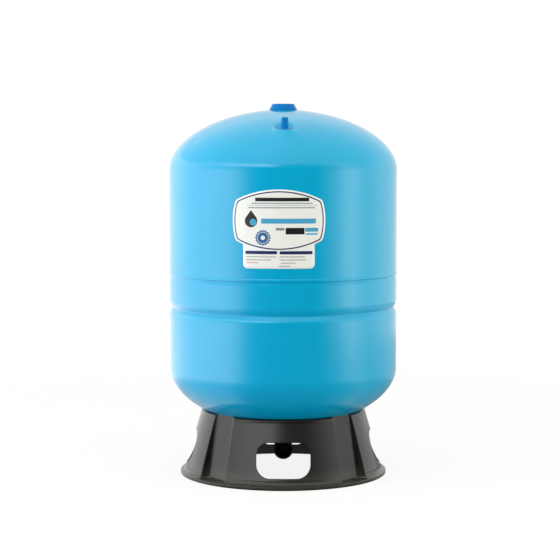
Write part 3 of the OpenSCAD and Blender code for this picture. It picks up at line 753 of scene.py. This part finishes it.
def flute_zone():
    """The closed loop of rows over one flute: seat, outer face, ledge, rim, floor, inner face and lip."""
    outer = stand_profile()
    rows = flute_rows(outer[:, 0], flute_floor(outer[:, 1]), FLUTE_W / 2, FLUTE_R)
    rows = with_height(rows, outer[:, 1])
    top = rows[0, :, :2]
    top_r = np.linalg.norm(top, axis=-1)
    radius = lerp(SEAT_R - SEAT_W, top_r[None, :], np.linspace(0, 1, 7)[:-1, None])
    seat = at_radius(np.broadcast_to(top, (6, *top.shape)), radius[..., None])
    seat = np.concatenate([seat, seat_height(radius)[..., None]], -1)
    rows[0, :, 2] = seat_height(top_r)
    last = rows[-1, :, :2]
    rim = at_radius(last, RIM_R - EDGE)
    ledge_t = np.linspace(0, 1, 6)[1:, None, None]
    ledge = with_height(lerp(last, rim, ledge_t), np.full(5, RIM_H))
    foot = foot_rows()
    foot_ring = at_radius(np.broadcast_to(rim, (len(foot), *rim.shape)), foot[:, :1, None])
    foot_ring = with_height(foot_ring, foot[:, 1])
    inner_z = np.concatenate([[UNDER, INNER_FOOT_Z], np.linspace(FLARE_TOP, RING_HIGH, RING_ROWS), [LIP_Z]])
    inner_r = panel_radius(inner_z) - WALL_ACROSS
    inner_floor = flute_floor(np.maximum(inner_z, RIM_H + FLOOR_FILLET)) - WALL
    half_in = FLUTE_W / 2 + WALL / math.cos(FLUTE_DRAFT) - WALL * math.tan(FLUTE_DRAFT)
    inner = with_height(flute_rows(inner_r, inner_floor, half_in, FLUTE_R + WALL), inner_z)
    below = with_height(at_radius(inner[:1, :, :2], inner_r[0]), np.full(1, UNDER))
    lip_t = np.linspace(0, 1, 4)[1:, None, None]
    lip_end = at_radius(inner[-1, :, :2], SEAT_R - SEAT_W)
    lip = with_height(lerp(inner[-1, :, :2], lip_end, lip_t), np.full(3, LIP_Z))
    return np.concatenate([seat, rows, ledge, foot_ring, below, inner, lip])


def panel_strip(radius, z):
    """Rows of a panel zone on circles of the given radii and heights, across its full angle."""
    a = np.linspace(-PANEL_HALF, PANEL_HALF, COLUMNS)[None, :]
    return np.stack([radius[:, None] * np.cos(a), radius[:, None] * np.sin(a), z[:, None] + 0 * a], -1)


def window_outline(grow):
    """The window's outline (across, height), a round-cornered box grown by an amount.

    It is split at the middles of its corners into four runs that match the zone's columns and rows.
    """
    w, h, r = WINDOW_W / 2 + grow, WINDOW_H / 2 + grow, WINDOW_R + grow
    middle = WINDOW_SILL + WINDOW_H / 2

    def run(count, long_half, across_half):
        """One side: half a corner's arc, the straight and half the next arc, evenly spaced by length."""
        reach = long_half - r
        s = np.linspace(-1, 1, count) * (reach + r * math.pi / 4)
        a = np.maximum(np.abs(s) - reach, 0) / r
        along = np.clip(s, -reach, reach) + np.sign(s) * r * np.sin(a)
        return along, across_half - r + r * np.cos(a)

    x, y = run(COLUMNS, w, h)
    low, high = np.stack([x, -y], -1), np.stack([x, y], -1)[::-1]
    y, x = run(RING_ROWS, h, w)
    right, left = np.stack([x, y], -1), np.stack([-x, y], -1)[::-1]
    return np.concatenate([low[:-1], right[:-1], high[:-1], left[:-1]]) + [0, middle]


def ring_border():
    """The border of a window's zone, as (angle, height) in the same runs as the window's outline."""
    a = np.linspace(-PANEL_HALF, PANEL_HALF, COLUMNS)
    z = np.linspace(FLARE_TOP, RING_HIGH, RING_ROWS)
    low, high = np.stack([a, 0 * a + FLARE_TOP], -1), np.stack([a, 0 * a + RING_HIGH], -1)[::-1]
    right, left = np.stack([0 * z + PANEL_HALF, z], -1), np.stack([0 * z - PANEL_HALF, z], -1)[::-1]
    return np.concatenate([low[:-1], right[:-1], high[:-1], left[:-1]])


def window_ring():
    """The panel about a window: outer face, rounded edge, wall's thickness, rounded edge, inner face."""
    border = ring_border()

    def face(inset, grow, t):
        """Rows on one face between the window's outline and the zone's border, a fraction t of the way."""
        outline = window_outline(grow)
        r = panel_radius(outline[:, 1]) - inset
        near = np.stack([np.arcsin(outline[:, 0] / r), outline[:, 1]], -1)
        a, z = np.moveaxis(lerp(near[:, None], border[:, None], t[None, :, None]), -1, 0)
        r = panel_radius(z) - inset
        return np.stack([r * np.cos(a), r * np.sin(a), z], -1)

    def edge(inset, towards):
        """The rounded edge between a face and the window's wall: a quadratic curve of three points."""
        a = face(inset, EDGE, np.zeros(1))
        b = face(inset, 0.0, np.zeros(1))
        c = b + [towards * EDGE * 0.8, 0, 0]
        t = np.linspace(0, 1, 6)[None, :, None]
        return lerp(lerp(a, b, t), lerp(b, c, t), t)

    t = np.linspace(0, 1, 11)[1:]
    return np.concatenate([face(0.0, EDGE, t)[:, ::-1], edge(0.0, -1), edge(WALL_ACROSS, 1)[:, ::-1],
                           face(WALL_ACROSS, EDGE, t)], 1)


def turned(grid, angle):
    """A grid turned about the upright axis."""
    c, s = math.cos(angle), math.sin(angle)
    return grid @ np.array([[c, s, 0], [-s, c, 0], [0, 0, 1]])


def stand_skin(material):
    """The moulded stand: four window panels and four flutes, joined into one closed wall."""
    outer = stand_profile()
    ring_start = SHOULDER_STEPS + 1 + UPPER_STEPS
    above, below = outer[:ring_start], outer[ring_start + RING_ROWS - 2:]
    seat_r = lerp(SEAT_R - SEAT_W, SEAT_R, np.linspace(0, 1, 7)[:-1])
    foot = foot_rows()
    low_z = np.array([UNDER, INNER_FOOT_Z, FLARE_TOP])
    high_z = np.array([RING_HIGH, LIP_Z])
    high_r = panel_radius(high_z) - WALL_ACROSS
    lip_r = lerp(high_r[-1], SEAT_R - SEAT_W, np.linspace(0, 1, 4)[1:])
    upper_strip = panel_strip(
        np.concatenate([high_r, lip_r, seat_r, above[:, 0]]),
        np.concatenate([high_z, np.full(3, LIP_Z), seat_height(seat_r), above[:, 1]]))
    lower_strip = panel_strip(
        np.concatenate([below[:, 0], [RIM_R - EDGE], foot[:, 0], panel_radius(low_z) - WALL_ACROSS]),
        np.concatenate([below[:, 1], [RIM_H], foot[:, 1], low_z]))
    flute, ring = flute_zone(), window_ring()
    grids = []
    for quarter in range(4):
        angle = quarter * math.pi / 2 - math.pi / 2
        grids += [(turned(flute, angle + math.pi / 4), False, False), (turned(ring, angle), True, False),
                  (turned(upper_strip, angle), False, False), (turned(lower_strip, angle), False, False)]
    moulding = surface("stand_moulding", grids, sharp=50, merge=0.02 * MM)
    dress(moulding, "tank", material, "stand")


# Caps and elbow


def turned_cap(name, corners, body, material, node, centre=(0.0, 0.0)):
    """A cap turned from a closed outline of rounded corners (radius, height, rounding) in millimetres."""
    outline = rounded([(r * MM, z * MM, c * MM) for r, z, c in corners])
    grid = spin(outline, np.linspace(0, 2 * np.pi, 96, endpoint=False), centre)
    dress(surface(name, [(grid, True, True)], merge=0.003 * MM), body, material, node)


ELBOW_BEND_R, ELBOW_DROP, ELBOW_REACH = 30 * MM, 49 * MM, 72 * MM
ELBOW_R, ELBOW_BORE_R, ELBOW_BAND_R, ELBOW_BAND_L = 22 * MM, 17.5 * MM, 24 * MM, 14 * MM
SOCKET_R, SOCKET_L = 19.5 * MM, 25 * MM
THREAD_PITCH, THREAD_DEPTH, THREAD_FADE, MOUTH_CHAMFER = 2.209 * MM, 0.9 * MM, 3 * MM, 1.2 * MM


def elbow(material):
    """The water elbow: a bent pipe swept round its bore and wall, with a screw thread cut in its mouth."""
    axis_z = BOTTOM_Z - ELBOW_DROP
    turn = np.linspace(0, math.pi / 2, 15)
    bend = np.stack([-ELBOW_BEND_R * (1 - np.cos(turn)), axis_z + ELBOW_BEND_R * (1 - np.sin(turn))], -1)
    path = np.concatenate([[[0, BOTTOM_Z + SHEET]], bend])
    tangent = np.concatenate([[0.0], turn])
    a = np.linspace(0, 2 * np.pi, 96, endpoint=False)[:, None]

    def along(y, z, lean, r):
        """Rings of radius r about points (y, z) of the pipe, which leans from straight down to forwards."""
        side, up = r * np.cos(a), r * np.sin(a)
        return np.stack([side + 0 * y, y + up * np.cos(lean), z + up * np.sin(lean)], -1)

    def level(y, r):
        """Rings of radius r at distances y along the level mouth."""
        return along(y, axis_z + 0 * y, np.full(1, math.pi / 2), r)

    band_y = -ELBOW_REACH + ELBOW_BAND_L
    mouth_y = -ELBOW_REACH + np.array([MM, 0.3 * MM, 0])
    out_y = np.array([lerp(-ELBOW_BEND_R, band_y, 0.5), band_y + 2 * MM, band_y, band_y - MM, *mouth_y])
    out_r = np.array([ELBOW_R, ELBOW_R, ELBOW_R + 0.4 * MM, ELBOW_BAND_R, ELBOW_BAND_R,
                      ELBOW_BAND_R - 0.3 * MM, ELBOW_BAND_R - MM])
    depth = np.linspace(0, SOCKET_L, 150)
    cut = np.abs(((depth / THREAD_PITCH)[None, :] - a / (2 * np.pi)) % 1 - 0.5) * 2
    fade = np.clip((SOCKET_L - depth) / THREAD_FADE, 0, 1)
    chamfer = np.maximum(0, MOUTH_CHAMFER - depth) * 0.6
    thread_r = SOCKET_R + THREAD_DEPTH * (1 - cut) * fade + chamfer
    grid = np.concatenate([
        along(path[:, 0], path[:, 1], tangent, ELBOW_R),
        level(out_y, out_r[None, :]),
        level(-ELBOW_REACH + depth, thread_r),
        along(path[::-1, 0], path[::-1, 1], tangent[::-1], ELBOW_BORE_R)], 1)
    casting = surface("water_elbow_casting", [(grid, True, True)], 35, 0.002 * MM)
    dress(casting, "tank", material, "water_elbow")


def cover_cap(material):
    """The crown's cap: a flared, slightly sloping cup with an inner sleeve that grips the boss."""
    top, sleeve = CROWN_Z / MM + 14, CROWN_Z / MM + 2.6
    rim = (SHOULDER_Z + float(dome(np.array(32.5 * MM)))) / MM + 0.1
    under = top - 2
    turned_cap("top_cover_cap", [
        (34.5, rim, 0.3), (34.1, rim + 1.2, 0.8), (26.5, top, 2.6), (0, top, 0),
        (0, under, 0), (22.15, under, 0.3), (22.15, sleeve, 0.2),
        (23.75, sleeve, 0.2), (23.75, under, 0.2), (24.6, under, 0.4), (32.5, rim, 0.2)],
        "top_cap_body", material, "top_cap")


def valve_cap(material):
    """The valve's tall cap: a tapered body over a skirt that flares in a quarter of an ellipse."""
    foot = PAD_TOP / MM + 3
    flare = np.radians(np.linspace(0, 90, 9))
    skirt = [(15.45 - 6.05 * math.sin(a), foot + 2.8 - 4.8 * math.cos(a), 0.0) for a in flare]
    skirt[0] = (*skirt[0][:2], 0.2)
    turned_cap("valve_screw_cap", [
        (8.95, foot - 2.8, 0.1), (15.45, foot - 2.8, 0.3), *skirt,
        (7.8, foot + 26, 2.9), (0, foot + 26, 0), (0, foot + 20.65, 0), (3.93, foot + 20.65, 0),
        (3.93, foot + 4.2, 0.2), (7.3, foot + 4.2, 0.2), (7.3, foot + 0.2, 0.2), (8.95, foot + 0.2, 0.1)],
        "valve_cap_body", material, "valve_cap", VALVE_XY)


# Build

blue = tank_paint()
cap_blue = cap_plastic()

upper_skin(blue)
lower_skin(blue)
weld_bead(blue)
stand_skin(stand_plastic())
label_skin(label_print())
elbow(elbow_coat())
cover_cap(cap_blue)
valve_cap(cap_blue)

STEEL = colour(196, 198, 200)
FINISHES = {
    "ring_steel": metal("ring_steel", STEEL, 0.3, 900.0),
    "plug_steel": metal("plug_steel", colour(170, 172, 176), 0.34, 700.0),
    "spring_steel": metal("spring_steel", STEEL, 0.25, 2000.0),
    "valve_brass": metal("valve_brass", colour(214, 178, 104), 0.22, 1800.0),
    "butyl_rubber": soft_stuff("butyl_rubber", colour(34, 34, 34), 0.6, 600.0),
    "seal_rubber": soft_stuff("seal_rubber", colour(26, 26, 26), 0.55, 1500.0),
    "liner_plastic": soft_stuff("liner_plastic", colour(226, 225, 216), 0.4, 500.0),
    "tank_paint": blue,
}
for part in frame["record"]["subparts"]:
    if part["material_slot"] in FINISHES:
        finish = frame["nodes"][part["node"]].data.materials
        finish.clear()
        finish.append(FINISHES[part["material_slot"]])

# Studio


def light(name, place, target, size, power, tint):
    """A soft rectangular lamp at a place, turned towards a target. Gloss shows the surround instead."""
    lamp = bpy.data.lights.new(name, "AREA")
    lamp.shape = "RECTANGLE"
    lamp.size, lamp.size_y = size
    lamp.energy = power
    lamp.color = tint
    thing = bpy.data.objects.new(name, lamp)
    thing.location = place
    aim = np.array(target) - np.array(place)
    tilt = math.atan2(math.hypot(aim[0], aim[1]), -aim[2])
    thing.rotation_euler = (tilt, 0, math.atan2(-aim[0], aim[1]))
    thing.visible_glossy = False
    bpy.context.collection.objects.link(thing)


# Brightness of the surround in gloss, from 0 to 1, by the turn from the camera's side in degrees, left
# first. LEVEL_RING is what lies level with the object, HIGH_RING what lies a little above it.
LEVEL_RING = [
    (-180, 0.31), (-150, 0.5), (-125, 0.72), (-95, 0.86), (-70, 1.0), (-54, 1.0), (-46, 0.78), (-36, 0.24),
    (-26, 0.04), (-12, 0.0), (32, 0.0), (40, 0.09), (49, 0.33), (58, 0.58), (65, 0.92), (70, 1.0),
    (75, 1.0), (82, 0.78), (92, 0.54), (112, 0.54), (130, 0.44), (150, 0.36), (180, 0.31)]
HIGH_RING = [
    (-180, 0.24), (-150, 0.3), (-125, 0.32), (-95, 0.42), (-70, 0.62), (-50, 0.9), (-35, 1.0), (-18, 1.0),
    (-9, 0.6), (-2, 0.14), (8, 0.05), (22, 0.03), (34, 0.1), (45, 0.19), (64, 0.4), (76, 0.38), (95, 0.3),
    (120, 0.32), (150, 0.28), (180, 0.24)]
LEVEL_PEAK, HIGH_PEAK, FLOOR_LEAST = 3, 4, 0.06
# Where the surround's bands begin, as the upward part of a direction of length 1
DIM_FROM, HIGH_FROM, CEILING_FROM = 0.08, 0.3, 0.46


def ring(nodes, x, y, table, peak):
    """Brightness in a ring about the object, from a table of turns and heights, by the direction (x, y)."""
    turn = nodes.math("ARCTAN2", x, 0 - y) / (2 * math.pi) + 0.5
    return peak * nodes.graph(turn, [(a / 360 + 0.5, v) for a, v in table])


def surround():
    """White to the camera; to gloss a white room, dark towards the camera, with a window on each side.

    Its brightness follows the turn about the upright axis in two rings. The lower ring is dimmer in its
    upper part on the camera's side, and a pale ceiling starts above the higher ring.
    """
    world = bpy.data.worlds.new("surround")
    bpy.context.scene.world = world
    world.use_nodes = True
    n = Nodes(world.node_tree)
    x, y, z = n.split(n.node("ShaderNodeTexCoord", output="Generated"))
    dim = (1 - z.below(DIM_FROM, 0.05)) * y.below(0.0, 0.5)
    low = ring(n, x, y, LEVEL_RING, LEVEL_PEAK) * (1 - 0.4 * dim)
    high = ring(n, x, y, HIGH_RING, HIGH_PEAK)
    ceiling = 1.1 + 0.3 * x.below(0.0, 1.2)
    gloss = low + (1 - z.below(HIGH_FROM, 0.05)) * (high - low)
    gloss = gloss + (1 - z.below(CEILING_FROM, 0.08)) * (ceiling - gloss)
    plain = 0.76 - 0.15 * y.below(0, 1.2)
    level = plain + n.ray("Glossy") * (gloss - plain)
    seen = n.ray("Camera").max(n.ray("Transmission"))
    level = level + seen * (1 - level)
    back = n.node("ShaderNodeBackground", {}, {"Strength": level, "Color": (1, 1, 1, 1)})
    n.node("ShaderNodeOutputWorld", {}, {"Surface": back})


def floor():
    """The floor: white, with the tank's soft shadow; far off it is as white as the surround.

    To gloss it glows as the surround's level ring does: a painted reflection, with painted shade near the
    object and on the right.
    """
    p = Paint("floor_white", roughness=0.9)
    x, y, _ = p.split(p.place())
    away = (x * x + y * y).root()
    # To diffuse rays the floor's white is four tenths darker: painted shade that dims the light it bounces
    # up onto the tank.
    p.set("Base Color", p.mix(p.ray("Diffuse") * 0.4, (0.93, 0.93, 0.93, 1), (0, 0, 0, 1)))
    glossy, seen = p.ray("Glossy"), p.ray("Camera").max(p.ray("Transmission"))
    # In gloss the floor is only a glow, a painted reflection; near and right put painted shade on it, close
    # to the object and on the right.
    near = 0.66 * away.below(1.0, 0.9)
    right = 0.48 * (1 - x.below(0.1, 0.5)) * away.below(3.2, 0.8)
    level = ring(p, x, y, LEVEL_RING, LEVEL_PEAK) * (1 - near) * (1 - right) + FLOOR_LEAST
    white = seen * (0.87 + 0.13 * (1 - away.below(1.5, 2.2))) + glossy
    strength = 1 + glossy * (level - 1)
    glow = p.node("ShaderNodeEmission", {}, {"Color": (1, 1, 1, 1), "Strength": strength})
    shader = Value(p, p.shader.outputs[0])
    p.plug(p.out.inputs[0], p.node("ShaderNodeMixShader", {}, {0: white, 1: shader, 2: glow}))
    rings = [(r, -0.2 * MM) for r in (MM, 0.5, 1.0, 2.0, 4.0)]
    disc = spin(rings, np.linspace(0, 2 * np.pi, 65))
    ground = surface("studio_floor", [(disc, False, False)])
    ground.data.materials.append(p.material)


# The camera that the photograph's curves give: its place, its dip in degrees and its focal length in pixels
CAMERA_AT = (-0.0079, -4.332, 0.823)
CAMERA_DIP = 4.55
FOCAL_PX, FRAME_PX = 1756, 560
SENSOR_W = 36


def camera():
    """The photograph's view: a long lens a little below the tank's crown, pitched down."""
    view = bpy.data.cameras.new("camera")
    view.sensor_width = SENSOR_W
    view.lens = SENSOR_W * FOCAL_PX / FRAME_PX
    thing = bpy.data.objects.new("camera", view)
    thing.location = CAMERA_AT
    thing.rotation_euler = (math.radians(90 - CAMERA_DIP), 0, 0)
    bpy.context.collection.objects.link(thing)
    bpy.context.scene.camera = thing


surround()
floor()
camera()
light("left_softbox", (-2.7, -0.9, 0.95), (0, 0, 0.45), (1.8, 1.9), 54, (1.0, 1.0, 0.92))
light("right_softbox", (2.5, -1.2, 1.0), (0, 0, 0.45), (1.0, 2.2), 34, (1.0, 1.0, 0.68))
light("top_softbox", (-0.2, -1.0, 2.8), (0, 0, 0.5), (1.6, 1.2), 19, (1.0, 1.0, 0.68))
bpy.context.scene.view_settings.view_transform = "Standard"
